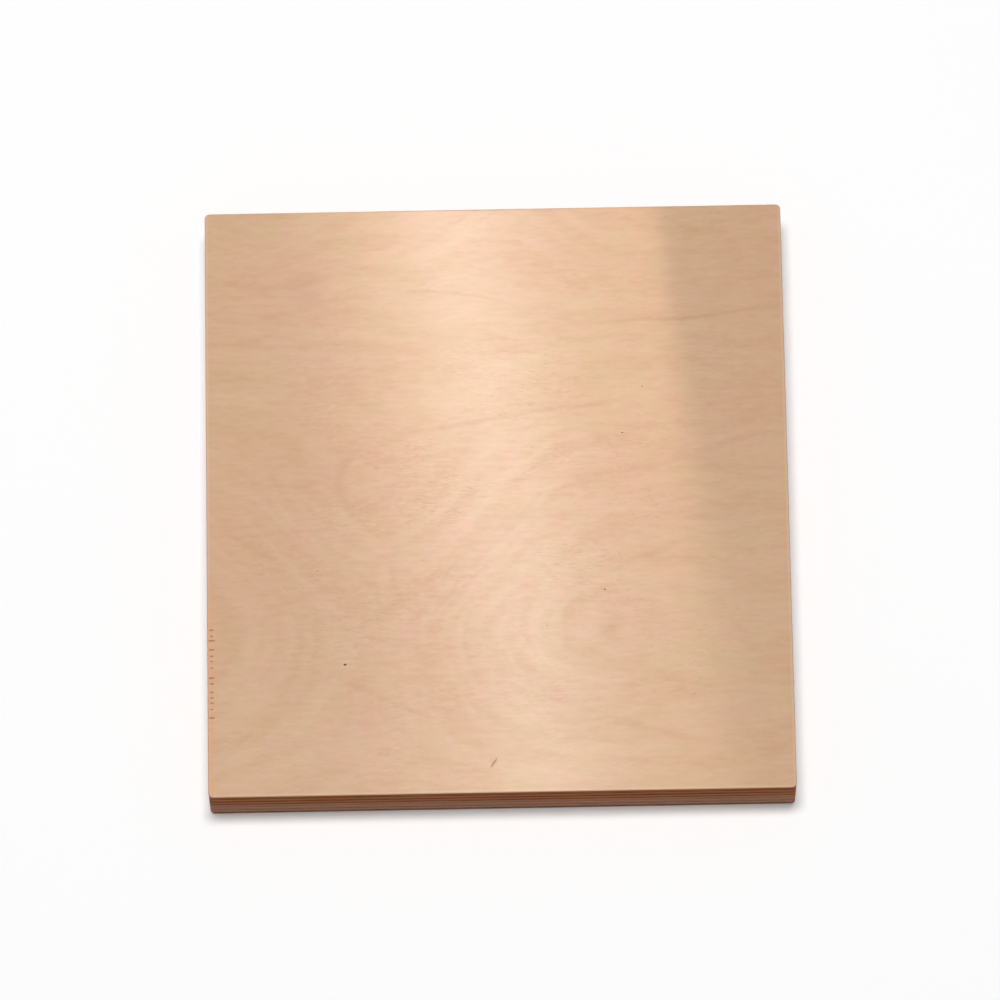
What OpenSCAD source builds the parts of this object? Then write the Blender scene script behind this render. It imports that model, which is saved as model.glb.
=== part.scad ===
// Plywood sheet, one flat panel lying on its underside.
// Millimetres. The origin is the centre of the underside, X runs along the
// grain of the face veneer, Y runs away from the front edge and Z is up.

/* [Sheet] */
// Width of the sheet, along the grain of its face veneer
sheet_w = 180; // [60:1:1220]
// Depth of the sheet, across the grain of its face veneer
sheet_d = 190; // [60:1:1220]
// Thickness of the sheet through all its plies
sheet_t = 18; // [4:0.5:40]

/* [Edges] */
// Radius of the four sanded corners, seen from above
corner_r = 1.5; // [1:0.1:8]
// Radius of the sanded arris where an edge meets a face
arris_r = 0.4; // [0.1:0.05:0.5]

/* [Hidden] */
$fn = 64;

// Distances between the centres of the round corners
run_w = sheet_w - 2 * corner_r;
run_d = sheet_d - 2 * corner_r;

// Upright section of the sheet, standing on zero, with its four arrises eased
module eased_section(width) {
    flat_w = width - 2 * arris_r;
    flat_t = sheet_t - 2 * arris_r;

    translate([-flat_w / 2, 0]) square([flat_w, sheet_t]);
    translate([-width / 2, arris_r]) square([width, flat_t]);
    for (side = [-1, 1], level = [arris_r, sheet_t - arris_r])
        translate([side * flat_w / 2, level]) circle(arris_r);
}

// Half of the same section, turned about the upright axis of a round corner
module corner_post() {
    flat_r = corner_r - arris_r;
    flat_t = sheet_t - 2 * arris_r;

    rotate_extrude() {
        square([flat_r, sheet_t]);
        translate([0, arris_r]) square([corner_r, flat_t]);
        for (level = [arris_r, sheet_t - arris_r])
            translate([flat_r, level]) circle(arris_r);
    }
}

// The whole panel: a run each way between the corners, and the four corners
module plywood_sheet() {
    color("burlywood") {
        rotate([90, 0, 90]) linear_extrude(run_w, center = true) eased_section(sheet_d);
        rotate([90, 0, 0]) linear_extrude(run_d, center = true) eased_section(sheet_w);
        for (side = [-1, 1], end = [-1, 1])
            translate([side * run_w / 2, end * run_d / 2, 0]) corner_post();
    }
}

plywood_sheet();
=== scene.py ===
"""Birch plywood sheet: lays up its plies, cuts its small marks and sets it on a pale floor."""

import math

import bpy
from mathutils import Matrix, Quaternion, Vector


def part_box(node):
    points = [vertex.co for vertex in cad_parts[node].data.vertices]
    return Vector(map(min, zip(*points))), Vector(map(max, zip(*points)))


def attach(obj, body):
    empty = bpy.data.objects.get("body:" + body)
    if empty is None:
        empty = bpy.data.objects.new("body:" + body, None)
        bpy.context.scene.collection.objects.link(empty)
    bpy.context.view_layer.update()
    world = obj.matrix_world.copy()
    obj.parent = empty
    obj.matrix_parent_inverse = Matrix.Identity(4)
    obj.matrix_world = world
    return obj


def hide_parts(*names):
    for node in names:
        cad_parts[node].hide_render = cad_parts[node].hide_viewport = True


bl_info = {
    "name": "Birch Plywood Sheet",
    "version": (1, 0, 0),
    "blender": (4, 5, 0),
    "location": "3D View > Sidebar > Plywood",
    "description": "Builds a birch plywood sheet with its plies, grain and saw marks",
    "category": "Object",
}

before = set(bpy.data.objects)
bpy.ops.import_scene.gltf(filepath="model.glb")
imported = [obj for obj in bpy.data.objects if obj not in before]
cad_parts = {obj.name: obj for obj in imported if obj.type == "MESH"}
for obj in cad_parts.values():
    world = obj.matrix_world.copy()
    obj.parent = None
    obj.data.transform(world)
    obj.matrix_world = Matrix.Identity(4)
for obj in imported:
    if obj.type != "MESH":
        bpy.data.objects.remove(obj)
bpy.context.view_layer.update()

# The sheet in the frame, in metres
SHEET_NODE = "plywood_sheet"
BODY = "root"
SHEET_LOW, SHEET_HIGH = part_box(SHEET_NODE)
SHEET_W, SHEET_D, SHEET_T = SHEET_HIGH - SHEET_LOW
MM = 0.001

# Specks on the top face: shares of the width from the left and of the depth from the back, then
# length and width in millimetres and the turn from the grain in degrees
SPECK_SHARES = (
    (0.235, 0.780, 0.95, 0.62, 0),
    (0.681, 0.660, 0.62, 0.42, 0),
    (0.717, 0.392, 0.62, 0.34, 0),
    (0.830, 0.839, 0.34, 0.24, 0),
    (0.581, 0.720, 0.34, 0.26, 0),
    (0.753, 0.313, 0.50, 0.26, 0),
    (0.190, 0.620, 0.40, 0.26, 0),
)

# Scratches on the top face, in the same way
SCRATCH_SHARES = (
    (0.486, 0.950, 3.6, 0.70, 58),
)

# Growth rings that run along the grain: shares of the width at both ends, shares of the depth at
# the start, the middle and the end, half the line's width as a share, and strength
RING_RUN_SHARES = (
    (0.33, 0.52, 0.140, 0.145, 0.164, 0.005, 0.7),
    (0.69, 0.99, 0.200, 0.194, 0.176, 0.005, 1.0),
    (0.27, 0.77, 0.398, 0.364, 0.330, 0.007, 0.6),
    (0.28, 0.44, 0.434, 0.428, 0.415, 0.010, 0.25),
    (0.60, 0.99, 0.467, 0.442, 0.384, 0.012, 0.4),
    (0.56, 0.84, 0.668, 0.626, 0.572, 0.012, 0.35),
    (0.56, 0.81, 0.761, 0.795, 0.807, 0.010, 0.3),
    (0.22, 0.40, 0.804, 0.842, 0.872, 0.010, 0.4),
    (0.47, 0.88, 0.809, 0.872, 0.936, 0.012, 0.4),
    (0.01, 0.14, 0.534, 0.578, 0.610, 0.010, 0.4),
    (0.02, 0.30, 0.230, 0.234, 0.222, 0.010, 0.25),
    (0.02, 0.26, 0.466, 0.474, 0.456, 0.010, 0.25),
)

# Growth rings that bend across the grain: shares of the depth at both ends, shares of the width
# at the start, the middle and the end, half the line's width as a share, and strength
RING_BEND_SHARES = (
    (0.399, 0.579, 0.275, 0.229, 0.330, 0.016, 0.45),
    (0.484, 0.704, 0.590, 0.480, 0.374, 0.016, 0.35),
    (0.684, 0.794, 0.376, 0.356, 0.385, 0.014, 0.45),
    (0.659, 0.769, 0.570, 0.544, 0.566, 0.014, 0.4),
    (0.594, 0.704, 0.292, 0.286, 0.312, 0.012, 0.25),
    (0.604, 0.694, 0.318, 0.322, 0.345, 0.012, 0.25),
)

# How far rings lean to their colour, the share of a line over which its ends fade, and the waves
# in metres and reaches as shares by which it wobbles
RING_DEPTH = 0.5
RING_END_SHARE = 0.2
RING_WOBBLES = ((40 * MM, 0.010), (6 * MM, 0.003))

# Rosy clouds on the face: place, radius as a share of the width, strength
ROSE_CLOUD_SHARES = (
    (0.15, 0.15, 0.14, 0.6),
    (0.21, 0.27, 0.12, 0.5),
    (0.28, 0.45, 0.13, 0.7),
    (0.17, 0.56, 0.12, 0.4),
    (0.37, 0.66, 0.13, 0.5),
    (0.73, 0.71, 0.11, 0.8),
    (0.74, 0.52, 0.16, 0.75),
)

# Amber clouds on the face, in the same way
AMBER_CLOUD_SHARES = (
    (0.95, 0.10, 0.28, 0.40),
    (0.96, 0.34, 0.20, 0.25),
    (0.05, 0.28, 0.09, 0.35),
    (0.687, 0.729, 0.035, 0.50),
)

# Soft dark smudges on the face: place, radius as a share of the width, strength
SMUDGE_SHARES = (
    (0.177, 0.139, 0.055, 0.22),
    (0.687, 0.729, 0.030, 0.14),
    (0.486, 0.950, 0.012, 0.18),
)

# Figure of the face: the growth rings lie along a fold, at a share of the depth, and swell round it.
# For each swell: place, then radius and lift as shares of the width
FOLD_SHARE = 0.71
FOLD_ROUND = 14 * MM
SWELL_SHARES = (
    (0.30, 0.60, 0.42, 0.22),
    (0.28, 0.88, 0.36, 0.07),
    (0.67, 0.72, 0.14, -0.02),
    (0.52, -0.02, 0.24, -0.09),
    (0.10, 0.08, 0.20, 0.06),
)
SWAY_WAVE = 22 * MM
SWAY_REACH = 3 * MM
RING_CHANGE = 0.05

# Where the figure of the face is strongest: place, radius as a share of the width
FIGURE_SHARES = (0.46, 0.62, 0.50)
FIGURE_LEVELS = (0.68, 1.0)

# Where fine flecks are thickest on the face, in the same way
FLECK_SHARES = (0.46, 0.56, 0.55)
FLECK_LEVELS = (0.4, 1.0)

# Layers of tone on the face: length and width of a cloud in millimetres, the colour that it leans
# to, how far, and whether it follows the figure
FACE_LAYERS = (
    (24.0, 9.0, "face_shade", 0.14, False),
    (9.0, 8.0, "face_rose", 0.75, False),
    (6.0, 6.5, "face_straw", 0.65, False),
    (36.0, 5.0, "face_ring", 0.48, True),
    (18.0, 2.6, "face_shade", 0.15, True),
    (7.0, 1.6, "face_pale", 0.25, False),
)
LAYER_STEP = Vector((0.31, 0.17, 0.0))

# Shared effects of the wood: where streaks and clouds start and are full in their noise, how much
# finer the fine streaks are and their share, and over what a pore fades in
STREAK_LIMITS = (0.3, 0.7)
CLOUD_LIMITS = (0.32, 0.68)
FINE_STREAK_SCALE = (2.6, 3.1, 3.1)
FINE_STREAK_SHARE = 0.3
PORE_FADE = 0.1

# Patches in which tones, rings, flecks and the bruised rim come and go: length and width in
# millimetres, the lowest levels, and where flecks start and are full in their patches
BROAD_PATCH = (55, 40)
RING_PATCH = (14, 7)
FLECK_PATCH = (30, 20)
BRUISE_PATCH = (1.6, 1.3)
PATCH_LOW = 0.4
FLECK_LOW = 0.35
FLECK_LIMITS = (0.4, 0.8)

# Fine grain of the face: length and width in millimetres, the sparseness of flecks and pores, and
# how far each leans to its colour
FIBRE_SIZE = (3.8, 1.0)
GLINT_SIZE = (3.0, 0.44, 0.61)
PORE_SIZE = (2.4, 0.42, 0.62)
FIBRE_PALENESS = 0.14
FIBRE_DEPTH = 0.10
GLINT_PALENESS = 0.36
PORE_DEPTH = 0.27

# Sanded surface of the face: roughness from deep to pale fibres, relief and clear coat
FACE_ROUGHNESS = (0.46, 0.38)
FACE_RELIEF = 0.005 * MM
FACE_COAT = 0.4
FACE_COAT_ROUGHNESS = 0.2

# Rims of the face: how far from the edge the painted highlight on the arrises ends and is full, how
# strong it is, and the shares of the depth from the front at which the bruise ends and is full
RIM_HIGHLIGHT = (1.1 * MM, 0.5 * MM)
RIM_HIGHLIGHT_STRENGTH = 0.5
BRUISE_RIM = (2.1 * MM, 1.2 * MM)
BRUISE_STRENGTH = 0.75
BRUISE_END_SHARES = (0.4, 0.3)

# Edges of the sheet: length and width in millimetres of patches, streaks, pores and lathe checks
EDGE_SHADE_SIZE = (40, 1.5)
EDGE_STRAW_SIZE = (26, 3.5)
GLUE_COVER_SIZE = (6, 1)
SIDE_STREAK_SIZE = (9.0, 0.25)
END_PORE_SIZE = (0.2, 0.2, 0.62)
LATHE_CHECK_SIZE = (1.6, 0.16)
LATHE_CHECK_TURN = math.radians(52)

# How far each leans to its colour, and the shares of the thickness between which plies turn pale
# with painted bounce light from the floor
PLY_DEPTH = 0.5
EDGE_SHADE_DEPTH = 0.35
EDGE_STRAW_PALENESS = 0.55
SIDE_STREAK_DEPTH = 0.35
LATHE_CHECK_DEPTH = 0.3
END_PORE_DEPTH = 0.45
BOUNCE_LIGHT_PALENESS = 0.65
BOUNCE_LIGHT_SHARES = (0.65, 0.25)

# Sawn and torn surfaces: roughness, gloss and relief
SIDE_ROUGHNESS = 0.6
END_ROUGHNESS = 0.75
GLUE_ROUGHNESS = 0.55
TORN_ROUGHNESS = 0.75
EDGE_GLOSS = 0.05
TORN_GLOSS = 0.1
SIDE_RELIEF = 0.03 * MM
END_RELIEF = 0.04 * MM
TORN_RELIEF = 0.03 * MM
TORN_STREAK_SIZE = (0.8, 0.1)
TORN_SHADE = 0.75

# Mesh of the sheet: how far rows crowd to glue lines, waves of the saw's roughness on side and end
# grain, where relief is full and glue lines start, in arris radii from a face, how level a face is
# that takes veneer, and the distance over which points are welded
ROW_CROWDING = 0.08
SIDE_WAVE = (5 * MM, 5 * MM, 0.35 * MM)
END_WAVE = (0.9 * MM, 0.9 * MM, 0.6 * MM)
RELIEF_FULL = 2.5
GLUE_START = 1.5
LEVEL_SLOPE = 0.5
WELD = 0.001 * MM

# Chance in the saw ticks: stray as shares of the pitch, then shares of the usual length and width
TICK_STRAY_SHARES = (-0.3, 0.3)
TICK_LENGTH_SHARES = (0.55, 1.35)
TICK_WIDTH_SHARES = (0.6, 1.4)

# Stage, in metres: a floor just clear of the sheet, and the lamps
FLOOR_REACH = 6.0
FLOOR_GAP = 0.05 * MM
FLOOR_PAINT = 0.95
FLOOR_LIFT = 0.2
KEY_PLACE = (-0.05, 0.20, 2.5)
KEY_SIZE = (0.8, 0.5)
SHEEN_PLACE = (0.0, 0.089, 0.275)
SHEEN_SIZE = (0.026, 0.25)
SHEEN_TURN = math.radians(8)
BACK_VEIL_PLACE = (0.0, 0.20, 0.275)
BACK_VEIL_SIZE = (0.10, 0.06)
FRONT_VEIL_PLACE = (-0.02, -0.05, 0.275)
FRONT_VEIL_SIZE = (0.22, 0.10)
PATCH_HEIGHT = 0.14
PATCH_OVERHANG = 6 * MM
PATCH_SPREAD = math.radians(2)
SENSOR_W = 36.0

# Patch of window light, as shares of the width at the front and at the back of the sheet
PATCH_RIGHT_SHARES = (0.88, 0.775)
PATCH_RIGHT_FADE_SHARES = (0.08, 0.02)
PATCH_LEFT_SHARES = (0.20, 0.09)
PATCH_LEFT_FADE_SHARE = 0.26
PATCH_LEFT_LEVEL = 0.3
PATCH_FRONT_SHARES = (0.12, 0.72)
PATCH_FRONT_LEVELS = (0.48, 0.93)


def face_point(across, down):
    """Place on the sheet of a share of its width and a share of its depth from the back."""
    return SHEET_LOW.x + across * SHEET_W, SHEET_HIGH.y - down * SHEET_D


def display_colour(red, green, blue):
    """Linear colour of a display colour given from 0 to 255."""
    shares = (red / 255, green / 255, blue / 255)
    return tuple(s / 12.92 if s <= 0.04045 else ((s + 0.055) / 1.055) ** 2.4 for s in shares)


def opaque(colour):
    """Colour with full alpha, as a colour socket takes it."""
    return (*colour, 1.0)


class Graph:
    """Adds nodes to a tree and wires them, so that a tree reads as a list of steps."""

    def __init__(self, tree):
        self.tree = tree

    def feed(self, socket, value):
        """Links another node's socket, or sets a plain value."""
        if isinstance(value, bpy.types.NodeSocket):
            self.tree.links.new(value, socket)
        else:
            socket.default_value = value

    def add(self, kind, inputs=None, **settings):
        """New node with its settings and inputs."""
        node = self.tree.nodes.new(kind)
        for name, value in settings.items():
            setattr(node, name, value)
        for key, value in (inputs or {}).items():
            self.feed(node.inputs[key], value)
        return node

    def math(self, operation, *values, clamp=False):
        """Result of one arithmetic step."""
        inputs = dict(enumerate(values))
        node = self.add("ShaderNodeMath", inputs, operation=operation, use_clamp=clamp)
        return node.outputs[0]

    def vector(self, operation, *values):
        """Result of one vector step."""
        node = self.add("ShaderNodeVectorMath", dict(enumerate(values)), operation=operation)
        return node.outputs[0]

    def scaled(self, vector, factor):
        """Vector times a number."""
        node = self.add("ShaderNodeVectorMath", {0: vector, "Scale": factor}, operation="SCALE")
        return node.outputs[0]

    def length(self, vector):
        """Length of a vector."""
        node = self.add("ShaderNodeVectorMath", {0: vector}, operation="LENGTH")
        return node.outputs["Value"]

    def join_axes(self, x=0.0, y=0.0, z=0.0):
        """Vector of three numbers."""
        return self.add("ShaderNodeCombineXYZ", {"X": x, "Y": y, "Z": z}).outputs[0]

    def split_axes(self, vector):
        """The three numbers of a vector."""
        return self.add("ShaderNodeSeparateXYZ", {"Vector": vector}).outputs

    def noise(self, vector, detail=2.0, roughness=0.5):
        """Noise from 0 to 1 with one cell per unit."""
        inputs = {"Vector": vector, "Scale": 1.0, "Detail": detail, "Roughness": roughness}
        return self.add("ShaderNodeTexNoise", inputs).outputs["Fac"]

    def ramp(self, value, low, high, to_low=0.0, to_high=1.0):
        """Smooth step of a value between two limits."""
        inputs = {"Value": value, "From Min": low, "From Max": high}
        inputs.update({"To Min": to_low, "To Max": to_high})
        node = self.add("ShaderNodeMapRange", inputs, interpolation_type="SMOOTHSTEP")
        return node.outputs["Result"]

    def mix(self, factor, low, high):
        """Number between two numbers."""
        inputs = {"Factor": factor, "A": low, "B": high}
        return self.add("ShaderNodeMix", inputs, data_type="FLOAT").outputs[0]

    def blend(self, kind, factor, low, high):
        """Point or colour between two others."""
        data_type = {"Vector": "VECTOR", "Color": "RGBA"}[kind]
        node = self.add("ShaderNodeMix", data_type=data_type)
        for key, value in (("Factor_Float", factor), (f"A_{kind}", low), (f"B_{kind}", high)):
            self.feed(next(s for s in node.inputs if s.identifier == key), value)
        return next(s for s in node.outputs if s.identifier == f"Result_{kind}")

    def tint(self, factor, low, high):
        """Colour between two colours."""
        return self.blend("Color", factor, low, high)

    def wash(self, colour, mask, strength, other):
        """Colour with some of another colour laid over it where a mask says."""
        return self.tint(self.math("MULTIPLY", mask, strength), colour, opaque(other))

    def group(self, tree, inputs):
        """Outputs of a shared node group."""
        node = self.add("ShaderNodeGroup", node_tree=tree)
        for key, value in inputs.items():
            self.feed(node.inputs[key], value)
        return node.outputs


def blank_graph(owner):
    """Empty graph of a material, a lamp or the world."""
    owner.use_nodes = True
    owner.node_tree.nodes.clear()
    return Graph(owner.node_tree)


# Shared effects of the wood

def new_effect(name, inputs, output):
    """Empty shader group with named sockets, its graph, its input sockets and its output node."""
    tree = bpy.data.node_groups.new(name, "ShaderNodeTree")
    tree.interface.new_socket("Vector", in_out="INPUT", socket_type="NodeSocketVector")
    for label, default in inputs:
        socket = tree.interface.new_socket(label, in_out="INPUT", socket_type="NodeSocketFloat")
        socket.default_value = default
    tree.interface.new_socket(output, in_out="OUTPUT", socket_type="NodeSocketFloat")
    graph = Graph(tree)
    given = graph.add("NodeGroupInput").outputs
    return tree, graph, given, graph.add("NodeGroupOutput")


def stretched(graph, given):
    """Place counted in cells of a length along X and a width across it."""
    per_length = graph.math("DIVIDE", 1.0, given["Length"])
    per_width = graph.math("DIVIDE", 1.0, given["Width"])
    scale = graph.join_axes(per_length, per_width, per_width)
    return graph.vector("MULTIPLY", given["Vector"], scale)


def wood_fibre_effect():
    """Streaks along X, coarse ones with finer ones among them."""
    sockets = (("Length", 6.0 * MM), ("Width", 0.3 * MM))
    tree, g, given, out = new_effect("Wood fibres", sockets, "Streak")
    coarse_at = stretched(g, given)
    coarse = g.noise(coarse_at, detail=2.0)
    fine_at = g.vector("MULTIPLY", coarse_at, FINE_STREAK_SCALE)
    fine = g.noise(fine_at, detail=2.0, roughness=0.6)
    both = g.mix(FINE_STREAK_SHARE, coarse, fine)
    g.feed(out.inputs["Streak"], g.ramp(both, *STREAK_LIMITS))
    return tree


def tone_drift_effect():
    """Soft clouds that shift the tone of the wood."""
    sockets = (("Length", 60.0 * MM), ("Width", 40.0 * MM))
    tree, g, given, out = new_effect("Tone drift", sockets, "Drift")
    clouds = g.noise(stretched(g, given), detail=2.0, roughness=0.45)
    g.feed(out.inputs["Drift"], g.ramp(clouds, *CLOUD_LIMITS))
    return tree


def pore_effect():
    """Small dark pores: dashes where the wood is cut along them, dots where it is cut across."""
    sockets = (("Length", 2.0 * MM), ("Width", 0.15 * MM), ("Sparseness", 0.62))
    tree, g, given, out = new_effect("Pores", sockets, "Pore")
    cells = g.noise(stretched(g, given), detail=0.0)
    full = g.math("ADD", given["Sparseness"], PORE_FADE)
    g.feed(out.inputs["Pore"], g.ramp(cells, given["Sparseness"], full))
    return tree


def fibres(g, effects, at, length, width):
    """Streaks of a length and a width in millimetres."""
    inputs = {"Vector": at, "Length": length * MM, "Width": width * MM}
    return g.group(effects["fibre"], inputs)["Streak"]


def drift(g, effects, at, length, width):
    """Clouds of a length and a width in millimetres."""
    inputs = {"Vector": at, "Length": length * MM, "Width": width * MM}
    return g.group(effects["drift"], inputs)["Drift"]


def patchy(g, effects, at, size, low):
    """Strength that comes and goes in patches, from a low level to full."""
    return g.mix(drift(g, effects, at, *size), low, 1.0)


def pores(g, effects, at, length, width, sparseness):
    """Pores of a length and a width in millimetres."""
    inputs = {"Vector": at, "Length": length * MM, "Width": width * MM, "Sparseness": sparseness}
    return g.group(effects["pore"], inputs)["Pore"]


# Materials

def new_finish(name, roughness=0.5, gloss=0.5):
    """Material with a Principled shader, its graph and the shader."""
    material = bpy.data.materials.new(name)
    g = blank_graph(material)
    inputs = {"Roughness": roughness, "Specular IOR Level": gloss}
    shader = g.add("ShaderNodeBsdfPrincipled", inputs)
    g.add("ShaderNodeOutputMaterial", {"Surface": shader.outputs["BSDF"]})
    return material, g, shader


def object_place(g):
    """Place on the piece, in metres."""
    return g.add("ShaderNodeTexCoord").outputs["Object"]


def bump(g, height, depth):
    """Normal of a fine relief of the given depth."""
    return g.add("ShaderNodeBump", {"Height": height, "Distance": depth}).outputs["Normal"]


def soft_spot(g, place, across, down, size):
    """One at a place on the face, fading to nothing at a share of the width from it."""
    spot_x, spot_y = face_point(across, down)
    away = g.vector("SUBTRACT", place, (spot_x, spot_y, SHEET_HIGH.z))
    return g.ramp(g.length(away), size * SHEET_W, 0.0)


def wobble(g, place, wave, reach):
    """Chance shift of up to a reach either way, with waves of a length."""
    return g.math("MULTIPLY_ADD", g.noise(g.scaled(place, 1 / wave)), 2 * reach, -reach)


def ring_line(g, along, across, ring):
    """Soft line over a stretch of one axis, through three places on the other axis."""
    start, stop, first, middle, last, width, strength = ring
    share = g.math("DIVIDE", g.math("SUBTRACT", along, start), stop - start)
    bow = 2 * first - 4 * middle + 2 * last
    lean = 4 * middle - 3 * first - last
    curve = g.math("MULTIPLY_ADD", g.math("MULTIPLY_ADD", share, bow, lean), share, first)
    off = g.math("ABSOLUTE", g.math("SUBTRACT", across, curve))
    inner = g.math("PINGPONG", g.math("MINIMUM", g.math("MAXIMUM", share, 0.0), 1.0), 0.5)
    line = g.math("MULTIPLY", g.ramp(off, width, 0.0), g.ramp(inner, 0.0, RING_END_SHARE))
    return g.math("MULTIPLY", line, strength)


def growth_rings(g, place):
    """Growth rings of a rotary-cut face: nested arches that open to the right, a little unsteady."""
    x, y, _ = g.split_axes(place)
    shift = g.math("ADD", *(wobble(g, place, wave, reach) for wave, reach in RING_WOBBLES))
    across = g.math("ADD", g.math("DIVIDE", g.math("SUBTRACT", x, SHEET_LOW.x), SHEET_W), shift)
    down = g.math("ADD", g.math("DIVIDE", g.math("SUBTRACT", SHEET_HIGH.y, y), SHEET_D), shift)
    lines = [ring_line(g, across, down, ring) for ring in RING_RUN_SHARES]
    lines += [ring_line(g, down, across, ring) for ring in RING_BEND_SHARES]
    rings = lines[0]
    for line in lines[1:]:
        rings = g.math("MAXIMUM", rings, line)
    return rings


def figure_place(g, place):
    """Place counted along the grain and across the growth rings, which arch round a fold."""
    x, y, _ = g.split_axes(place)
    _, fold_y = face_point(0.0, FOLD_SHARE)
    off = g.math("SUBTRACT", y, fold_y)
    rise = g.math("SQRT", g.math("MULTIPLY_ADD", off, off, FOLD_ROUND * FOLD_ROUND))
    for across, down, size, lift in SWELL_SHARES:
        spot = soft_spot(g, place, across, down, size)
        rise = g.math("MULTIPLY_ADD", spot, lift * SHEET_W, rise)
    rise = g.math("ADD", rise, wobble(g, place, SWAY_WAVE, SWAY_REACH))
    return g.join_axes(x, rise, g.math("MULTIPLY", y, RING_CHANGE))


def swayed_place(g, place):
    """Place on the face, moved across the grain as the fibres sway."""
    sway = wobble(g, place, SWAY_WAVE, SWAY_REACH)
    return g.vector("ADD", place, g.join_axes(y=sway))


def clouded(g, colour, place, spots, other):
    """Colour with soft spots of another colour laid over it."""
    for across, down, size, strength in spots:
        colour = g.wash(colour, soft_spot(g, place, across, down, size), strength, other)
    return colour


def face_tone(g, colours, effects, place):
    """Colour of the face without its fibres, and how strong its figure is."""
    broad = drift(g, effects, place, *BROAD_PATCH)
    colour = g.tint(broad, opaque(colours.face_tan), opaque(colours.face_straw))
    colour = clouded(g, colour, place, ROSE_CLOUD_SHARES, colours.face_rose)
    colour = clouded(g, colour, place, AMBER_CLOUD_SHARES, colours.face_ring)
    figure = g.mix(soft_spot(g, place, *FIGURE_SHARES), *FIGURE_LEVELS)
    at_figure = figure_place(g, place)
    for number, (length, width, leaning, strength, follows) in enumerate(FACE_LAYERS, start=1):
        at = g.vector("ADD", at_figure if follows else place, LAYER_STEP * number)
        cloud = g.math("MULTIPLY", drift(g, effects, at, length, width), figure)
        colour = g.wash(colour, cloud, strength, getattr(colours, leaning))
    colour = clouded(g, colour, place, SMUDGE_SHARES, colours.face_shade)
    come_and_go = patchy(g, effects, place, RING_PATCH, PATCH_LOW)
    rings = g.math("MULTIPLY", growth_rings(g, place), come_and_go)
    return g.wash(colour, rings, RING_DEPTH, colours.face_shade), figure


def highlight_and_bruise_rims(g, colour, colours, effects, place):
    """Painted highlight along the front and side arrises, bruised warm along the front of the left
    side.
    """
    x, y, _ = g.split_axes(place)
    from_left = g.math("SUBTRACT", x, SHEET_LOW.x)
    from_right = g.math("SUBTRACT", SHEET_HIGH.x, x)
    from_front = g.math("SUBTRACT", y, SHEET_LOW.y)
    nearest = g.math("MINIMUM", g.math("MINIMUM", from_left, from_right), from_front)
    # Painted highlight: the face turns paler next to the front and side arrises, where they catch
    # light
    colour = g.wash(colour, g.ramp(nearest, *RIM_HIGHLIGHT), RIM_HIGHLIGHT_STRENGTH, colours.face_pale)
    come_and_go = patchy(g, effects, place, BRUISE_PATCH, PATCH_LOW)
    bruise = g.math("MULTIPLY", g.ramp(from_left, *BRUISE_RIM), come_and_go)
    ends = (share * SHEET_D for share in BRUISE_END_SHARES)
    bruise = g.math("MULTIPLY", bruise, g.ramp(from_front, *ends))
    return g.wash(colour, bruise, BRUISE_STRENGTH, colours.torn_fibre)


def face_veneer(colours, effects):
    """Rotary-cut birch face: clouds of rose and straw, faint arched rings and silky fibres."""
    material, g, shader = new_finish("face_veneer")
    place = object_place(g)
    colour, figure = face_tone(g, colours, effects, place)

    at_fibre = swayed_place(g, place)
    streak = fibres(g, effects, at_fibre, *FIBRE_SIZE)
    pale = g.math("MULTIPLY", g.ramp(streak, 0.5, 1.0), figure)
    deep = g.math("MULTIPLY", g.ramp(streak, 0.5, 0.0), figure)
    colour = g.wash(colour, pale, FIBRE_PALENESS, colours.face_pale)
    colour = g.wash(colour, deep, FIBRE_DEPTH, colours.face_shade)

    apart = g.vector("ADD", at_fibre, LAYER_STEP)
    in_patch = g.ramp(drift(g, effects, apart, *FLECK_PATCH), *FLECK_LIMITS)
    thick = g.mix(soft_spot(g, place, *FLECK_SHARES), *FLECK_LEVELS)
    flecked = g.math("MULTIPLY", g.mix(in_patch, FLECK_LOW, 1.0), thick)
    glint = g.math("MULTIPLY", pores(g, effects, apart, *GLINT_SIZE), flecked)
    colour = g.wash(colour, glint, GLINT_PALENESS, colours.face_pale)
    pore = g.math("MULTIPLY", pores(g, effects, at_fibre, *PORE_SIZE), flecked)
    colour = g.wash(colour, pore, PORE_DEPTH, colours.face_pore)
    colour = highlight_and_bruise_rims(g, colour, colours, effects, place)

    relief = g.math("SUBTRACT", streak, pore)
    g.feed(shader.inputs["Base Color"], colour)
    g.feed(shader.inputs["Roughness"], g.ramp(streak, 0.0, 1.0, *FACE_ROUGHNESS))
    g.feed(shader.inputs["Normal"], bump(g, relief, FACE_RELIEF))
    shader.inputs["Coat Weight"].default_value = FACE_COAT
    shader.inputs["Coat Roughness"].default_value = FACE_COAT_ROUGHNESS
    return material


def edge_place(g):
    """Place on an edge of the sheet: along the edge, then up through the plies."""
    x, y, z = g.split_axes(object_place(g))
    return g.join_axes(g.math("ADD", x, y), z)


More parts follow.
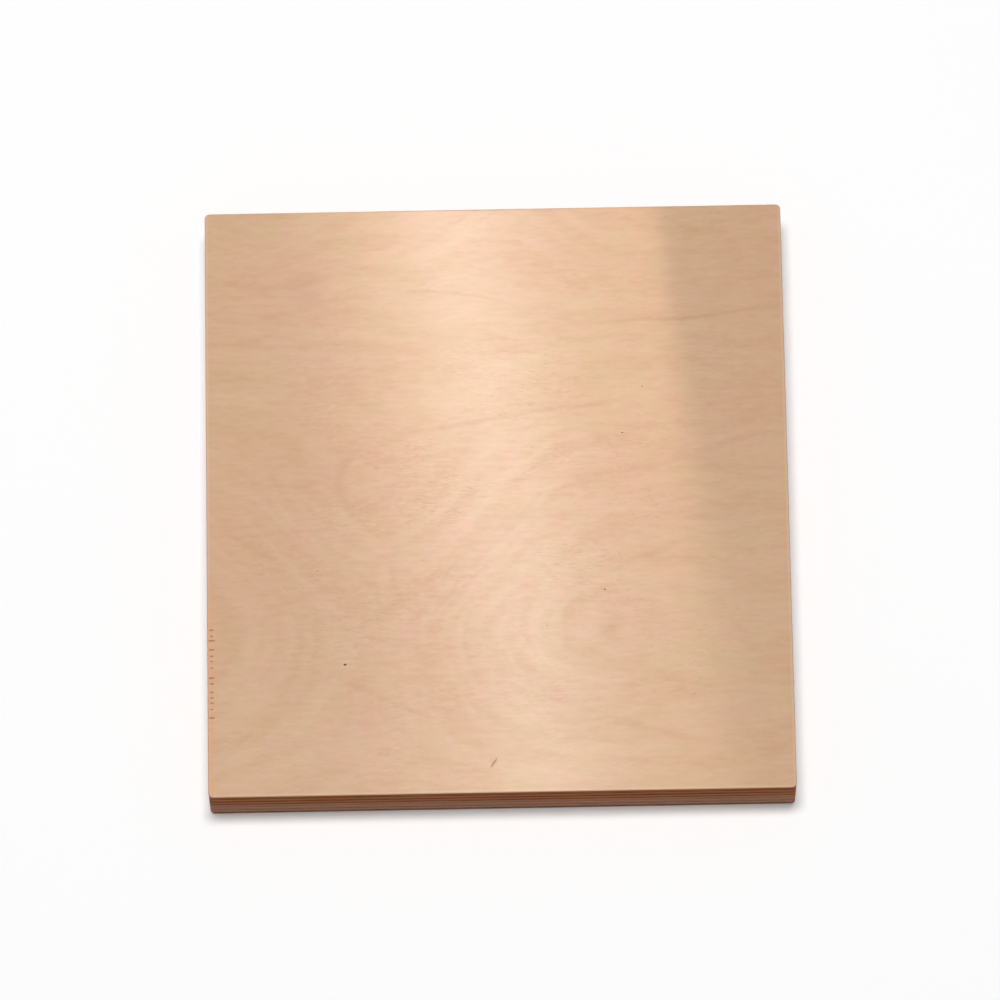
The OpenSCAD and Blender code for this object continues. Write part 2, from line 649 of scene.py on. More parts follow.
def edge_wood(g, colours, effects, along, plies, pale, deep):
    """Colour of the plies at an edge, each with its own tone, that drifts along the edge."""
    height = g.split_axes(along)["Y"]
    ply = g.math("FLOOR", g.math("DIVIDE", height, SHEET_T / plies))
    chance = g.add("ShaderNodeTexWhiteNoise", {"W": ply}, noise_dimensions="1D")
    # The pale and deep tones of the edges carry painted shade on top of the wood's own colour
    colour = g.wash(opaque(pale), chance.outputs["Value"], PLY_DEPTH, deep)
    shade = drift(g, effects, along, *EDGE_SHADE_SIZE)
    colour = g.wash(colour, shade, EDGE_SHADE_DEPTH, deep)
    straw = drift(g, effects, g.vector("ADD", along, LAYER_STEP), *EDGE_STRAW_SIZE)
    colour = g.wash(colour, straw, EDGE_STRAW_PALENESS, colours.edge_straw)
    # Painted bounce light: the lower plies are washed paler, where light from the floor falls on them
    bounce_lit_plies = g.ramp(height, *(share * SHEET_T for share in BOUNCE_LIGHT_SHARES))
    return g.wash(colour, bounce_lit_plies, BOUNCE_LIGHT_PALENESS, colours.bounce_lit_ply)


def side_grain(colours, effects, plies):
    """Edge of a ply whose fibres run along the edge."""
    material, g, shader = new_finish("side_grain_ply", SIDE_ROUGHNESS, EDGE_GLOSS)
    along = edge_place(g)
    streak = fibres(g, effects, along, *SIDE_STREAK_SIZE)
    colour = edge_wood(g, colours, effects, along, plies, colours.side_pale, colours.side_deep)
    colour = g.wash(colour, streak, SIDE_STREAK_DEPTH, colours.side_deep)
    g.feed(shader.inputs["Base Color"], colour)
    g.feed(shader.inputs["Normal"], bump(g, streak, SIDE_RELIEF))
    return material


def end_grain(colours, effects, plies):
    """Edge of a ply cut across its fibres, with pores and slanted lathe checks."""
    material, g, shader = new_finish("end_grain_ply", END_ROUGHNESS, EDGE_GLOSS)
    along = edge_place(g)
    pore = pores(g, effects, along, *END_PORE_SIZE)
    slant = g.add("ShaderNodeMapping", {"Vector": along, "Rotation": (0.0, 0.0, LATHE_CHECK_TURN)})
    check = fibres(g, effects, slant.outputs[0], *LATHE_CHECK_SIZE)
    colour = edge_wood(g, colours, effects, along, plies, colours.end_pale, colours.end_deep)
    colour = g.wash(colour, check, LATHE_CHECK_DEPTH, colours.end_deep)
    colour = g.wash(colour, pore, END_PORE_DEPTH, colours.glue)
    g.feed(shader.inputs["Base Color"], colour)
    g.feed(shader.inputs["Normal"], bump(g, g.math("SUBTRACT", check, pore), END_RELIEF))
    return material


def glue_line(colours, effects):
    """Thin dark line of glue between two plies."""
    material, g, shader = new_finish("glue_line", GLUE_ROUGHNESS, EDGE_GLOSS)
    cover = drift(g, effects, edge_place(g), *GLUE_COVER_SIZE)
    g.feed(shader.inputs["Base Color"], g.wash(opaque(colours.glue), cover, 1.0, colours.end_deep))
    return material


def torn_wood(name, colour, effects):
    """Raw wood inside a small chip or scratch."""
    material, g, shader = new_finish(name, TORN_ROUGHNESS, TORN_GLOSS)
    streak = fibres(g, effects, object_place(g), *TORN_STREAK_SIZE)
    shade = tuple(channel * TORN_SHADE for channel in colour)
    g.feed(shader.inputs["Base Color"], g.wash(opaque(colour), streak, 1.0, shade))
    g.feed(shader.inputs["Normal"], bump(g, streak, TORN_RELIEF))
    return material


# Geometry trees

def new_geometry_tree(name, inputs):
    """Geometry tree with named inputs, its graph, its input sockets and its output node."""
    tree = bpy.data.node_groups.new(name, "GeometryNodeTree")
    tree.interface.new_socket("Geometry", in_out="OUTPUT", socket_type="NodeSocketGeometry")
    for kind, labels in inputs.items():
        for label in labels:
            tree.interface.new_socket(label, in_out="INPUT", socket_type=f"NodeSocket{kind}")
    graph = Graph(tree)
    given = graph.add("NodeGroupInput").outputs
    return tree, graph, given, graph.add("NodeGroupOutput")


def keep_result(piece):
    """Makes a plain mesh of what a piece's modifiers give, and removes them."""
    bpy.context.view_layer.update()
    now = bpy.context.evaluated_depsgraph_get()
    mesh = bpy.data.meshes.new_from_object(piece.evaluated_get(now), depsgraph=now)
    piece.modifiers.clear()
    before = piece.data
    piece.data = mesh
    bpy.data.meshes.remove(before)
    mesh.name = piece.name


def discard(piece):
    """Removes a helper object and its mesh."""
    mesh = piece.data
    bpy.data.objects.remove(piece)
    bpy.data.meshes.remove(mesh)


def grow(name, tree, values):
    """Mesh object that a geometry tree makes from the given input values."""
    piece = bpy.data.objects.new(name, bpy.data.meshes.new(name))
    bpy.context.scene.collection.objects.link(piece)
    modifier = piece.modifiers.new(tree.name, "NODES")
    modifier.node_group = tree
    sockets = {s.name: s.identifier for s in tree.interface.items_tree if s.in_out == "INPUT"}
    for label, value in values.items():
        modifier[sockets[label]] = value
    keep_result(piece)
    return piece


def cut(piece, cutter):
    """Cuts one closed piece out of another and leaves the cutter's finish in the cut."""
    modifier = piece.modifiers.new("Cut", "BOOLEAN")
    modifier.operation = "DIFFERENCE"
    modifier.solver = "MANIFOLD"
    modifier.material_mode = "TRANSFER"
    modifier.object = cutter
    keep_result(piece)
    discard(cutter)


def joined(g, parts):
    """One geometry of several."""
    whole = g.add("GeometryNodeJoinGeometry")
    for part in parts:
        g.tree.links.new(part, whole.inputs[0])
    return whole.outputs[0]


def finished(g, geometry, material, selection=True):
    """Geometry with a material on the chosen faces."""
    inputs = {"Geometry": geometry, "Selection": selection, "Material": material}
    return g.add("GeometryNodeSetMaterial", inputs).outputs[0]


def moved(g, geometry, **inputs):
    """Geometry with its points set to a position or shifted by an offset."""
    labelled = {label.title(): value for label, value in inputs.items()}
    return g.add("GeometryNodeSetPosition", {"Geometry": geometry, **labelled}).outputs[0]


def sheet_outline(g, given, column):
    """Centre of the corner circle and outward direction at a column round the sheet."""
    per_corner, per_side = given["Columns Per Corner"], given["Columns Per Side"]
    quarter = g.math("ADD", per_corner, per_side)
    corner = g.math("FLOOR", g.math("DIVIDE", column, quarter))
    step = g.math("SUBTRACT", column, g.math("MULTIPLY", corner, quarter))
    turned = g.math("DIVIDE", step, per_corner, clamp=True)
    past_corner = g.math("SUBTRACT", step, per_corner)
    run = g.math("DIVIDE", past_corner, per_side, clamp=True)

    inward = g.math("MULTIPLY", given["Corner Radius"], -1.0)
    reach_x = g.math("MULTIPLY_ADD", given["Width"], 0.5, inward)
    reach_y = g.math("MULTIPLY_ADD", given["Depth"], 0.5, inward)

    def corner_centre(number):
        turn = g.math("MULTIPLY_ADD", number, math.pi / 2, math.pi / 4)
        side_x = g.math("SIGN", g.math("COSINE", turn))
        side_y = g.math("SIGN", g.math("SINE", turn))
        return g.join_axes(g.math("MULTIPLY", side_x, reach_x), g.math("MULTIPLY", side_y, reach_y))

    following = g.math("ADD", corner, 1.0)
    centre = g.blend("Vector", run, corner_centre(corner), corner_centre(following))
    angle = g.math("MULTIPLY", g.math("ADD", corner, turned), math.pi / 2)
    outward = g.join_axes(g.math("COSINE", angle), g.math("SINE", angle))
    return centre, outward


def outline_point(g, centre, outward, radius, height):
    """Point at a radius from the corner circle's centre, at a height."""
    flat = g.vector("MULTIPLY_ADD", outward, g.join_axes(radius, radius), centre)
    return g.vector("ADD", flat, g.join_axes(z=height))


PLY_STACK_INPUTS = {
    "Float": (
        "Width", "Depth", "Thickness", "Corner Radius", "Arris Radius",
        "Glue Groove", "End Grain Recess", "Ply Unevenness", "Saw Roughness",
    ),
    "Int": ("Plies", "Rows Per Ply", "Columns Per Side", "Columns Per Corner", "Seed"),
    "Material": ("Face Veneer", "Side Grain", "End Grain", "Glue Line"),
}


def ply_stack_tree():
    """Tree that sweeps the edges of the plies round the sheet and closes them with two faces."""
    tree, g, given, out = new_geometry_tree("Ply stack", PLY_STACK_INPUTS)
    plies, rows_per_ply = given["Plies"], given["Rows Per Ply"]
    thickness, arris = given["Thickness"], given["Arris Radius"]
    corner_radius = given["Corner Radius"]
    per_quarter = g.math("ADD", given["Columns Per Side"], given["Columns Per Corner"])
    columns = g.math("MULTIPLY", per_quarter, 4.0)
    rows = g.math("MULTIPLY", plies, rows_per_ply)

    # A flat strip: columns run round the sheet, rows climb through the plies
    strip = g.add("GeometryNodeMeshGrid", {
        "Size X": 1.0,
        "Size Y": 1.0,
        "Vertices X": g.math("ADD", columns, 1.0),
        "Vertices Y": g.math("ADD", rows, 1.0),
    }).outputs["Mesh"]
    place = g.split_axes(g.add("GeometryNodeInputPosition").outputs[0])
    column = g.math("MULTIPLY", g.math("ADD", place["X"], 0.5), columns)
    level = g.math("MULTIPLY", g.math("ADD", place["Y"], 0.5), plies)

    # Which ply a row is in, and how far up it, with rows drawn close at glue lines and arrises
    last_ply = g.math("SUBTRACT", plies, 1.0)
    ply = g.math("MINIMUM", g.math("FLOOR", level), last_ply)
    share = g.math("SUBTRACT", level, ply)
    wave = g.math("SINE", g.math("MULTIPLY", share, 2 * math.pi))
    middle_share = g.math("MULTIPLY_ADD", wave, -ROW_CROWDING, share)
    first_share = g.math("MULTIPLY", share, share)
    left_over = g.math("SUBTRACT", 1.0, share)
    last_share = g.math("SUBTRACT", 1.0, g.math("MULTIPLY", left_over, left_over))
    is_first = g.math("LESS_THAN", ply, 0.5)
    is_last = g.math("GREATER_THAN", ply, g.math("SUBTRACT", last_ply, 0.5))
    drawn = g.mix(is_last, g.mix(is_first, middle_share, first_share), last_share)
    height = g.math("MULTIPLY", g.math("ADD", ply, drawn), g.math("DIVIDE", thickness, plies))

    # Round arrises
    below_top = g.math("SUBTRACT", thickness, height)
    into_face = g.math("MINIMUM", height, below_top)
    rounding = g.math("SUBTRACT", 1.0, g.math("DIVIDE", into_face, arris), clamp=True)
    flank = g.math("SQRT", g.math("SUBTRACT", 1.0, g.math("MULTIPLY", rounding, rounding)))
    arris_inset = g.math("MULTIPLY", g.math("SUBTRACT", 1.0, flank), arris)

    # Grain of the ply at this edge: plies cross, so each edge shows sides and ends by turns
    centre, outward = sheet_outline(g, given, column)
    facing = g.split_axes(g.vector("ABSOLUTE", outward))
    on_side = g.math("GREATER_THAN", facing["X"], facing["Y"])
    crossed = g.math("MODULO", ply, 2.0)
    is_end = g.math("ABSOLUTE", g.math("SUBTRACT", crossed, on_side))

    # Relief of the sawn and sanded edge, all of it sunk into the sheet
    glue_distance = g.math("ABSOLUTE", g.math("SUBTRACT", level, g.math("ROUND", level)))
    half_row = g.math("DIVIDE", 0.5, rows_per_ply)
    at_glue = g.math("LESS_THAN", glue_distance, half_row)
    chance = g.add("FunctionNodeRandomValue", {"ID": ply, "Seed": given["Seed"]}, data_type="FLOAT")
    uneven = g.math("MULTIPLY", chance.outputs["Value"], given["Ply Unevenness"])
    wall = outline_point(g, centre, outward, corner_radius, height)
    on_sides = g.noise(g.vector("DIVIDE", wall, SIDE_WAVE))
    on_ends = g.noise(g.vector("DIVIDE", wall, END_WAVE))
    rough = g.math("MULTIPLY", g.mix(is_end, on_sides, on_ends), given["Saw Roughness"])
    sunk = g.math("ADD", rough, uneven)
    sunk = g.math("MULTIPLY_ADD", is_end, given["End Grain Recess"], sunk)
    sunk = g.math("MULTIPLY_ADD", at_glue, given["Glue Groove"], sunk)
    clear_of_face = g.ramp(into_face, arris, g.math("MULTIPLY", arris, RELIEF_FULL))
    inset = g.math("MULTIPLY_ADD", sunk, clear_of_face, arris_inset)
    radius = g.math("SUBTRACT", corner_radius, inset)

    # Finishes by ply, then the strip is bent round the sheet
    near_glue = g.math("LESS_THAN", glue_distance, g.math("MULTIPLY", half_row, 2.0))
    inside = g.math("GREATER_THAN", into_face, g.math("MULTIPLY", arris, GLUE_START))
    glue_rows = g.math("MULTIPLY", near_glue, inside)
    edges = finished(g, strip, given["Side Grain"])
    edges = finished(g, edges, given["End Grain"], is_end)
    edges = finished(g, edges, given["Glue Line"], glue_rows)
    edges = g.add("GeometryNodeSetShadeSmooth", {"Geometry": edges, "Shade Smooth": True}).outputs[0]
    edges = moved(g, edges, position=outline_point(g, centre, outward, radius, height))

    # The two faces, on the same columns
    disc = g.add("GeometryNodeMeshCircle", {"Vertices": columns}, fill_type="NGON").outputs[0]
    index = g.add("GeometryNodeInputIndex").outputs[0]
    centre, outward = sheet_outline(g, given, index)
    flat_radius = g.math("SUBTRACT", corner_radius, arris)
    under = moved(g, disc, position=outline_point(g, centre, outward, flat_radius, 0.0))
    top = moved(g, under, offset=g.join_axes(z=thickness))
    under = g.add("GeometryNodeFlipFaces", {"Mesh": under}).outputs[0]

    # Sealed into one shell, with veneer on the faces and the level part of their arrises
    whole = joined(g, (edges, top, under))
    inputs = {"Geometry": whole, "Distance": WELD}
    sealed = g.add("GeometryNodeMergeByDistance", inputs).outputs[0]
    sealed = g.add("GeometryNodeRealizeInstances", {"Geometry": sealed}).outputs[0]
    normal = g.split_axes(g.add("GeometryNodeInputNormal").outputs[0])
    level_faces = g.math("GREATER_THAN", g.math("ABSOLUTE", normal["Z"]), LEVEL_SLOPE)
    final_height = g.split_axes(g.add("GeometryNodeInputPosition").outputs[0])["Z"]
    to_face = g.math("MINIMUM", final_height, g.math("SUBTRACT", thickness, final_height))
    veneered = g.math("MULTIPLY", level_faces, g.math("LESS_THAN", to_face, arris))
    g.feed(out.inputs["Geometry"], finished(g, sealed, given["Face Veneer"], veneered))
    return tree


FACE_MARK_INPUTS = {
    "Object": ("Specks", "Scratches"),
    "Vector": ("First Tick",),
    "Float": ("Mark Depth", "Tick Pitch", "Tick Length", "Tick Width", "Tick Depth"),
    "Int": ("Ticks", "Seed"),
    "Material": ("Tick", "Speck", "Scratch"),
}


def face_mark_tree():
    """Tree that makes the cutters of the saw ticks, specks and scratches."""
    tree, g, given, out = new_geometry_tree("Face marks", FACE_MARK_INPUTS)

    def chance(limits, salt):
        low, high = limits
        seed = g.math("ADD", given["Seed"], salt)
        node = g.add("FunctionNodeRandomValue", data_type="FLOAT")
        for key, value in (("Min", low), ("Max", high), ("Seed", seed)):
            g.feed(next(s for s in node.inputs if s.name == key and s.enabled), value)
        return next(s for s in node.outputs if s.enabled)

    def named(label):
        node = g.add("GeometryNodeInputNamedAttribute", {"Name": label}, data_type="FLOAT")
        return node.outputs["Attribute"]

    def cutters(points, length, width, depth, turn, finish):
        pod = g.add("GeometryNodeMeshIcoSphere", {"Radius": 0.5, "Subdivisions": 3}).outputs["Mesh"]
        rotation = g.add("FunctionNodeEulerToRotation", {"Euler": g.join_axes(z=turn)}).outputs[0]
        size = g.join_axes(length, width, g.math("MULTIPLY", depth, 2.0))
        inputs = {"Points": points, "Instance": pod, "Rotation": rotation, "Scale": size}
        placed = g.add("GeometryNodeInstanceOnPoints", inputs).outputs[0]
        solid = g.add("GeometryNodeRealizeInstances", {"Geometry": placed}).outputs[0]
        return finished(g, solid, finish)

    # Saw ticks in a row along the left edge, at the feed of the saw
    pitch = g.math("MULTIPLY", given["Tick Pitch"], -1.0)
    row = g.add("GeometryNodeMeshLine", {
        "Count": given["Ticks"],
        "Start Location": given["First Tick"],
        "Offset": g.join_axes(y=pitch),
    }).outputs[0]
    stray = g.math("MULTIPLY", chance(TICK_STRAY_SHARES, 1), given["Tick Pitch"])
    row = moved(g, row, offset=g.join_axes(y=stray))
    tick_length = g.math("MULTIPLY", given["Tick Length"], chance(TICK_LENGTH_SHARES, 2))
    tick_width = g.math("MULTIPLY", given["Tick Width"], chance(TICK_WIDTH_SHARES, 3))
    kinds = [cutters(row, tick_length, tick_width, given["Tick Depth"], 0.0, given["Tick"])]

    # Specks and scratches at their own places
    length, width, turn = named("length"), named("width"), named("turn")
    for places, finish in (("Specks", "Speck"), ("Scratches", "Scratch")):
        points = g.add("GeometryNodeObjectInfo", {"Object": given[places]}).outputs["Geometry"]
        kinds.append(cutters(points, length, width, given["Mark Depth"], turn, given[finish]))
    g.feed(out.inputs["Geometry"], joined(g, kinds))
    return tree


def mark_points(name, marks):
    """Object whose points are the places of some marks on the top face, with their sizes."""
    mesh = bpy.data.meshes.new(name)
    across, down, lengths, widths, turns = zip(*marks)
    places = [(*face_point(*shares), SHEET_HIGH.z) for shares in zip(across, down)]
    mesh.from_pydata(places, [], [])
    sizes = {
        "length": [length * MM for length in lengths],
        "width": [width * MM for width in widths],
        "turn": [math.radians(turn) for turn in turns],
    }
    for label, values in sizes.items():
        mesh.attributes.new(label, "FLOAT", "POINT").data.foreach_set("value", values)
    points = bpy.data.objects.new(name, mesh)
    bpy.context.scene.collection.objects.link(points)
    return points


# Settings that a user would change

def length_setting(name, description, default, low=0.0):
    """Length in metres."""
    return bpy.props.FloatProperty(
        name=name, description=description, default=default, min=low, unit="LENGTH", precision=5
    )


def angle_setting(name, description, degrees):
    """Angle, shown in degrees."""
    return bpy.props.FloatProperty(
        name=name, description=description, default=math.radians(degrees), subtype="ANGLE"
    )


def colour_setting(name, description, red, green, blue):
    """Colour, given as it shows from 0 to 255."""
    return bpy.props.FloatVectorProperty(
        name=name, description=description, default=display_colour(red, green, blue),
        subtype="COLOR", size=3, min=0.0, max=1.0,
    )


def power_setting(name, description, watts):
    """Power of a lamp in watts."""
    return bpy.props.FloatProperty(
        name=name, description=description, default=watts, min=0.0, unit="POWER"
    )


class PlywoodSizes(bpy.types.PropertyGroup):
    """Lay-up and edges of the sheet."""

    plies: bpy.props.IntProperty(
        name="Plies", description="Veneers through the thickness", default=13, min=3, max=41
    )
    corner_radius: length_setting("Corner Radius", "Radius of the corners from above", 1.5 * MM)
    arris_radius: length_setting("Arris Radius", "Radius where edge meets face", 0.4 * MM)
    glue_groove: length_setting("Glue Groove", "Depth of the groove at a glue line", 0.07 * MM)
    end_recess: length_setting("End Grain Recess", "How far end grain is sanded back", 0.06 * MM)
    unevenness: length_setting("Ply Unevenness", "How far plies differ at the edge", 0.06 * MM)
    saw_roughness: length_setting("Saw Roughness", "Depth of the roughness left by the saw", 0.08 * MM)
    seed: bpy.props.IntProperty(name="Seed", description="Pattern of chance values", default=7)


class PlywoodMarks(bpy.types.PropertyGroup):
    """Small marks on the top face."""

    ticks: bpy.props.IntProperty(
        name="Ticks", description="Saw ticks along the left edge", default=14, min=1, max=200
    )
    first_share: bpy.props.FloatProperty(
        name="First Tick", description="Share of the depth from the back", default=0.716,
        subtype="FACTOR", min=0.0, max=1.0,
    )
    tick_pitch: length_setting("Tick Pitch", "Feed of the saw from tick to tick", 2.2 * MM)
    tick_inset: length_setting("Tick Inset", "From the edge to the middle of a tick", 1.3 * MM)
    tick_length: length_setting("Tick Length", "Length of a usual tick", 1.6 * MM)
    tick_width: length_setting("Tick Width", "Width of a usual tick", 0.45 * MM)
    tick_depth: length_setting("Tick Depth", "Depth of a tick", 0.1 * MM)
    mark_depth: length_setting("Mark Depth", "Depth of a speck or scratch", 0.12 * MM)


class PlywoodColours(bpy.types.PropertyGroup):
    """Colours of the wood."""

    face_tan: colour_setting("Face Tan", "Ground colour of the face", 210, 168, 133)
    face_rose: colour_setting("Face Rose", "Rosy clouds on the face", 214, 164, 138)
    face_straw: colour_setting("Face Straw", "Straw clouds on the face", 207, 173, 132)
    face_pale: colour_setting("Face Pale", "Silky fibres on the face", 224, 186, 154)
    face_ring: colour_setting("Face Ring", "Growth rings on the face", 198, 150, 108)
    face_shade: colour_setting("Face Shade", "Darker wood of the face", 180, 128, 90)
    face_pore: colour_setting("Face Pore", "Pores on the face", 165, 118, 82)
    # Edge colours: the plies' own tones, darkened with painted shade, as on an edge turned from the
    # light
    side_pale: colour_setting("Side Pale", "Pale side grain on the edges", 191, 120, 75)
    side_deep: colour_setting("Side Deep", "Deep side grain on the edges", 167, 96, 54)
    end_pale: colour_setting("End Pale", "Pale end grain on the edges", 167, 96, 55)
    end_deep: colour_setting("End Deep", "Deep end grain on the edges", 138, 74, 43)
    edge_straw: colour_setting("Edge Straw", "Straw wood along the edges", 187, 126, 78)
    # Painted bounce light: this pale tone on the lower plies stands for light from the floor
    bounce_lit_ply: colour_setting("Low Ply", "Paler wood of the lower plies", 199, 162, 140)
    glue: colour_setting("Glue", "Glue between the plies", 92, 45, 25)
    torn_fibre: colour_setting("Torn Fibre", "Raw wood along the sawn rim", 222, 158, 108)
    tick: colour_setting("Tick", "Dark wood in a saw tick", 208, 142, 96)
    speck: colour_setting("Speck", "Dark wood in a speck", 120, 80, 52)
    scratch: colour_setting("Scratch", "Dull wood in a scratch", 208, 168, 128)


class PlywoodStage(bpy.types.PropertyGroup):
    """Camera and light."""

    elevation: angle_setting("Elevation", "Camera above the floor", 71.72)
    roll: angle_setting("Roll", "Turn of the camera about its own axis", -1.02)
    distance: length_setting("Distance", "Camera from the point looked at", 2596 * MM)
    target_x: length_setting("Target X", "Point looked at, from the middle", 0.79 * MM, low=-1.0)
    target_y: length_setting("Target Y", "Point looked at, from the middle", -0.85 * MM, low=-1.0)
    lens: bpy.props.FloatProperty(
        name="Lens", description="Focal length in millimetres", default=302.3, min=1.0
    )
    world_level: bpy.props.FloatProperty(
        name="World Level", description="Light from all round", default=0.14, min=0.0
    )
    key_power: power_setting("Key Power", "Lamp high above the sheet", 44.0)
    patch_power: power_setting("Patch Power", "Patch of window light on the face", 0.031)
    sheen_power: power_setting("Sheen Power", "Strip that shows in the sanded face", 0.27)
    back_veil_power: power_setting("Back Veil Power", "Soft sheen on the back of the face", 0.04)
    front_veil_power: power_setting("Front Veil Power", "Soft sheen on the front of the face", 0.1)


class PlywoodSettings(bpy.types.PropertyGroup):
    """All settings of the sheet."""

    sizes: bpy.props.PointerProperty(type=PlywoodSizes)
    marks: bpy.props.PointerProperty(type=PlywoodMarks)
    colours: bpy.props.PointerProperty(type=PlywoodColours)
    stage: bpy.props.PointerProperty(type=PlywoodStage)


class PLYWOOD_OT_build_sheet(bpy.types.Operator):
    """Build the plywood sheet with its plies, faces and small marks"""

    bl_idname = "plywood.build_sheet"
    bl_label = "Build Sheet"
    bl_options = {"REGISTER", "UNDO"}

    rows_per_ply: bpy.props.IntProperty(
        name="Rows Per Ply", description="Mesh rows through one ply", default=8, min=4
    )
    columns_per_side: bpy.props.IntProperty(
        name="Columns Per Side", description="Mesh columns along one edge", default=150, min=8
    )
    columns_per_corner: bpy.props.IntProperty(
        name="Columns Per Corner", description="Mesh columns round one corner", default=8, min=2
    )

    def execute(self, context):
        settings = context.scene.plywood
        sizes, marks, colours = settings.sizes, settings.marks, settings.colours
        effects = {
            "fibre": wood_fibre_effect(),
            "drift": tone_drift_effect(),
            "pore": pore_effect(),
        }
        sheet = grow("birch_sheet", ply_stack_tree(), {
            "Width": SHEET_W,
            "Depth": SHEET_D,
            "Thickness": SHEET_T,
            "Corner Radius": sizes.corner_radius,
            "Arris Radius": sizes.arris_radius,
            "Plies": sizes.plies,
            "Rows Per Ply": self.rows_per_ply,
            "Columns Per Side": self.columns_per_side,
            "Columns Per Corner": self.columns_per_corner,
            "Glue Groove": sizes.glue_groove,
            "End Grain Recess": sizes.end_recess,
            "Ply Unevenness": sizes.unevenness,
            "Saw Roughness": sizes.saw_roughness,
            "Seed": sizes.seed,
            "Face Veneer": face_veneer(colours, effects),
            "Side Grain": side_grain(colours, effects, sizes.plies),
            "End Grain": end_grain(colours, effects, sizes.plies),
            "Glue Line": glue_line(colours, effects),
        })
        specks = mark_points("speck_places", SPECK_SHARES)
        scratches = mark_points("scratch_places", SCRATCH_SHARES)
        tick_x, tick_y = face_point(0.0, marks.first_share)
        cutters = grow("mark_cutters", face_mark_tree(), {
            "Specks": specks,
            "Scratches": scratches,
            "Mark Depth": marks.mark_depth,
            "Ticks": marks.ticks,
            "First Tick": (tick_x + marks.tick_inset, tick_y, SHEET_HIGH.z),
            "Tick Pitch": marks.tick_pitch,
            "Tick Length": marks.tick_length,
            "Tick Width": marks.tick_width,
            "Tick Depth": marks.tick_depth,
            "Seed": sizes.seed,
            "Tick": torn_wood("saw_tick", tuple(colours.tick), effects),
            "Speck": torn_wood("speck", tuple(colours.speck), effects),
            "Scratch": torn_wood("scratch", tuple(colours.scratch), effects),
        })
        discard(specks)
        discard(scratches)
        cut(sheet, cutters)
        if not sheet.data.polygons:
            raise RuntimeError("the sheet has no faces")
        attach(sheet, BODY)
        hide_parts(SHEET_NODE)
        return {"FINISHED"}


# Stage

def seen_directly(g):
    """One for what the camera sees, also in a mirror or through glass, and else nothing."""
    path = g.add("ShaderNodeLightPath").outputs
    reflected = g.math("MAXIMUM", path["Is Glossy Ray"], path["Is Transmission Ray"])
    return g.math("MAXIMUM", path["Is Camera Ray"], reflected)


def pale_floor():
    """Wide pale floor that shows white but keeps the shadow of the sheet."""
    turns = ((-1, -1), (1, -1), (1, 1), (-1, 1))
    corners = [(FLOOR_REACH * x, FLOOR_REACH * y, -FLOOR_GAP) for x, y in turns]
    mesh = bpy.data.meshes.new("floor")
    mesh.from_pydata(corners, [], [(0, 1, 2, 3)])
    floor = bpy.data.objects.new("floor", mesh)
    bpy.context.scene.collection.objects.link(floor)
    material = bpy.data.materials.new("pale_floor")
    g = blank_graph(material)
    paint = g.add("ShaderNodeBsdfDiffuse", {"Color": opaque((FLOOR_PAINT,) * 3)})
    lift = g.math("MULTIPLY", seen_directly(g), FLOOR_LIFT)
    glow = g.add("ShaderNodeEmission", {"Strength": lift})
    both = g.add("ShaderNodeAddShader", {0: paint.outputs[0], 1: glow.outputs[0]})
    g.add("ShaderNodeOutputMaterial", {"Surface": both.outputs[0]})
    mesh.materials.append(material)


def pale_world(level):
    """Even light from all round, white where it is seen."""
    world = bpy.data.worlds.new("pale_world")
    g = blank_graph(world)
    strength = g.mix(seen_directly(g), level, 1.0)
    light = g.add("ShaderNodeBackground", {"Color": (1.0, 1.0, 1.0, 1.0), "Strength": strength})
    g.add("ShaderNodeOutputWorld", {"Surface": light.outputs[0]})
    bpy.context.scene.world = world


def soft_lamp(name, place, size, power, turn=0.0):
    """Rectangular lamp that shines on the middle of the top face, out of the camera's sight."""
    data = bpy.data.lights.new(name, "AREA")
    data.shape = "RECTANGLE"
    data.size, data.size_y = size
    data.energy = power
    lamp = bpy.data.objects.new(name, data)
    lamp.location = place
    middle = Vector((0.0, 0.0, SHEET_HIGH.z))
    aim = (middle - Vector(place)).to_track_quat("-Z", "Y")
    lamp.rotation_euler = (aim @ Quaternion((0.0, 0.0, 1.0), turn)).to_euler()
    lamp.visible_camera = False
    bpy.context.scene.collection.objects.link(lamp)
    return lamp


def window_patch(power):
    """Narrow beam from above: a patch of light, sharp on its right and soft on its left."""
    size = (SHEET_W + PATCH_OVERHANG, SHEET_D)
    lamp = soft_lamp("window_patch", (0.0, 0.0, PATCH_HEIGHT), size, power)
    lamp.data.spread = PATCH_SPREAD
    lamp.visible_glossy = False
    g = blank_graph(lamp.data)
    across, back, _ = g.split_axes(g.add("ShaderNodeNewGeometry").outputs["Parametric"])
    right = g.mix(back, *PATCH_RIGHT_SHARES)
    fade = g.mix(back, *PATCH_RIGHT_FADE_SHARES)
    lit_right = g.ramp(across, g.math("ADD", right, fade), g.math("SUBTRACT", right, fade))
    left = g.mix(back, *PATCH_LEFT_SHARES)
    full = g.math("ADD", left, PATCH_LEFT_FADE_SHARE)
    lit_left = g.ramp(across, left, full, PATCH_LEFT_LEVEL, 1.0)
    lit_back = g.ramp(back, *PATCH_FRONT_SHARES, *PATCH_FRONT_LEVELS)
    strength = g.math("MULTIPLY", g.math("MULTIPLY", lit_left, lit_right), lit_back)
    light = g.add("ShaderNodeEmission", {"Strength": strength})
    g.add("ShaderNodeOutputLight", {"Surface": light.outputs[0]})


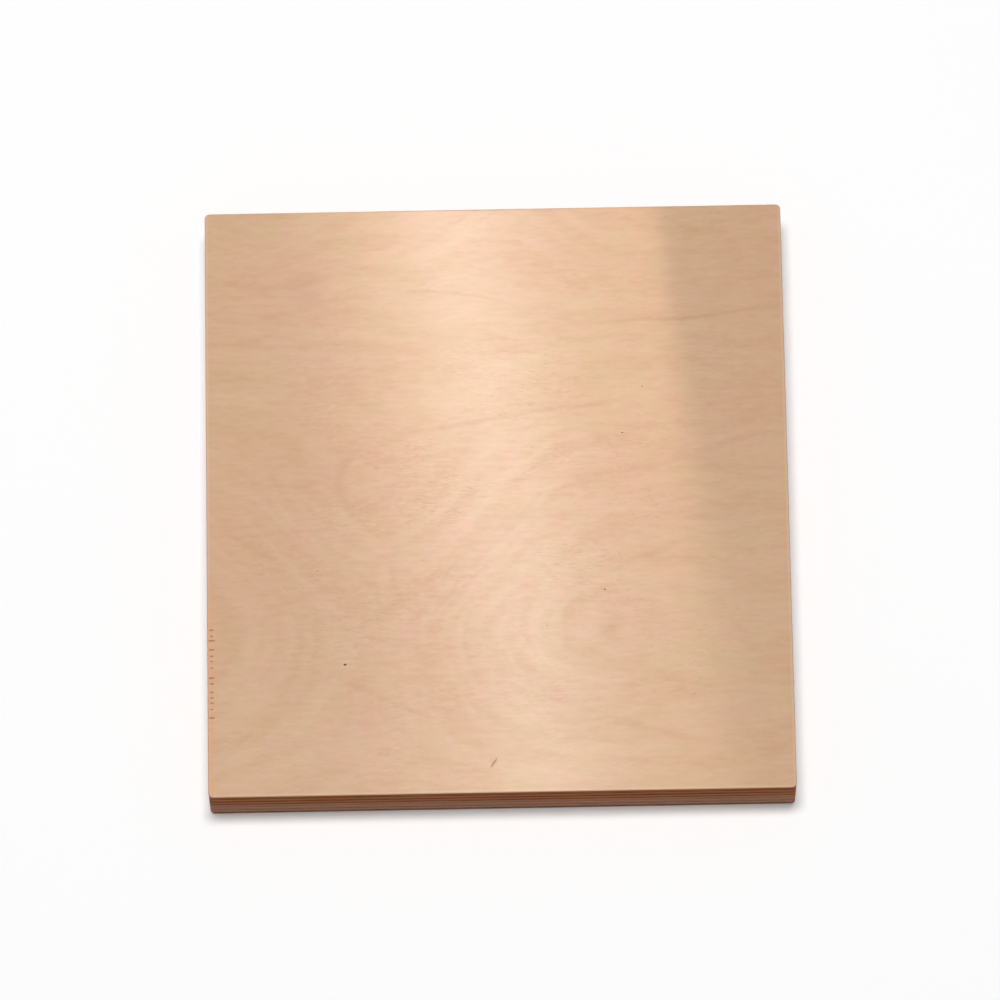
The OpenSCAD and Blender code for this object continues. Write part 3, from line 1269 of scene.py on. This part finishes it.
def photo_camera(stage):
    """Camera at the photograph's viewing angle."""
    data = bpy.data.cameras.new("camera")
    data.sensor_width = SENSOR_W
    data.lens = stage.lens
    camera = bpy.data.objects.new("camera", data)
    back = Vector((0.0, -math.cos(stage.elevation), math.sin(stage.elevation)))
    right = Matrix.Rotation(stage.roll, 3, back) @ Vector((1.0, 0.0, 0.0))
    rotation = Matrix((right, back.cross(right), back)).transposed()
    target = Vector((stage.target_x, stage.target_y, SHEET_HIGH.z))
    camera.matrix_world = Matrix.LocRotScale(target + back * stage.distance, rotation, None)
    bpy.context.scene.collection.objects.link(camera)
    bpy.context.scene.camera = camera


class PLYWOOD_OT_set_stage(bpy.types.Operator):
    """Set the floor, the light and the camera"""

    bl_idname = "plywood.set_stage"
    bl_label = "Set Stage"
    bl_options = {"REGISTER", "UNDO"}

    def execute(self, context):
        stage = context.scene.plywood.stage
        context.scene.view_settings.view_transform = "Standard"
        pale_floor()
        pale_world(stage.world_level)
        key = soft_lamp("key", KEY_PLACE, KEY_SIZE, stage.key_power)
        key.visible_glossy = False
        window_patch(stage.patch_power)
        for name, place, size, power, turn in (
            ("sheen_strip", SHEEN_PLACE, SHEEN_SIZE, stage.sheen_power, SHEEN_TURN),
            ("back_veil", BACK_VEIL_PLACE, BACK_VEIL_SIZE, stage.back_veil_power, 0.0),
            ("front_veil", FRONT_VEIL_PLACE, FRONT_VEIL_SIZE, stage.front_veil_power, 0.0),
        ):
            sheen = soft_lamp(name, place, size, power, turn)
            sheen.visible_diffuse = False
        photo_camera(stage)
        return {"FINISHED"}


class PLYWOOD_PT_sidebar(bpy.types.Panel):
    """Settings and steps of the plywood sheet"""

    bl_label = "Plywood Sheet"
    bl_space_type = "VIEW_3D"
    bl_region_type = "UI"
    bl_category = "Plywood"

    def draw(self, context):
        settings = context.scene.plywood
        for title, group in (
            ("Sizes", settings.sizes),
            ("Marks", settings.marks),
            ("Colours", settings.colours),
            ("Stage", settings.stage),
        ):
            box = self.layout.box()
            box.label(text=title)
            for label in group.__annotations__:
                box.prop(group, label)
        self.layout.operator(PLYWOOD_OT_build_sheet.bl_idname)
        self.layout.operator(PLYWOOD_OT_set_stage.bl_idname)


CLASSES = (
    PlywoodSizes,
    PlywoodMarks,
    PlywoodColours,
    PlywoodStage,
    PlywoodSettings,
    PLYWOOD_OT_build_sheet,
    PLYWOOD_OT_set_stage,
    PLYWOOD_PT_sidebar,
)


def register():
    """Adds the classes and the scene's settings."""
    for cls in CLASSES:
        bpy.utils.register_class(cls)
    bpy.types.Scene.plywood = bpy.props.PointerProperty(type=PlywoodSettings)


def unregister():
    """Removes the scene's settings and the classes."""
    del bpy.types.Scene.plywood
    for cls in reversed(CLASSES):
        bpy.utils.unregister_class(cls)


def main():
    """Builds the sheet and its stage."""
    register()
    bpy.ops.plywood.build_sheet()
    bpy.ops.plywood.set_stage()


if __name__ == "__main__":
    main()
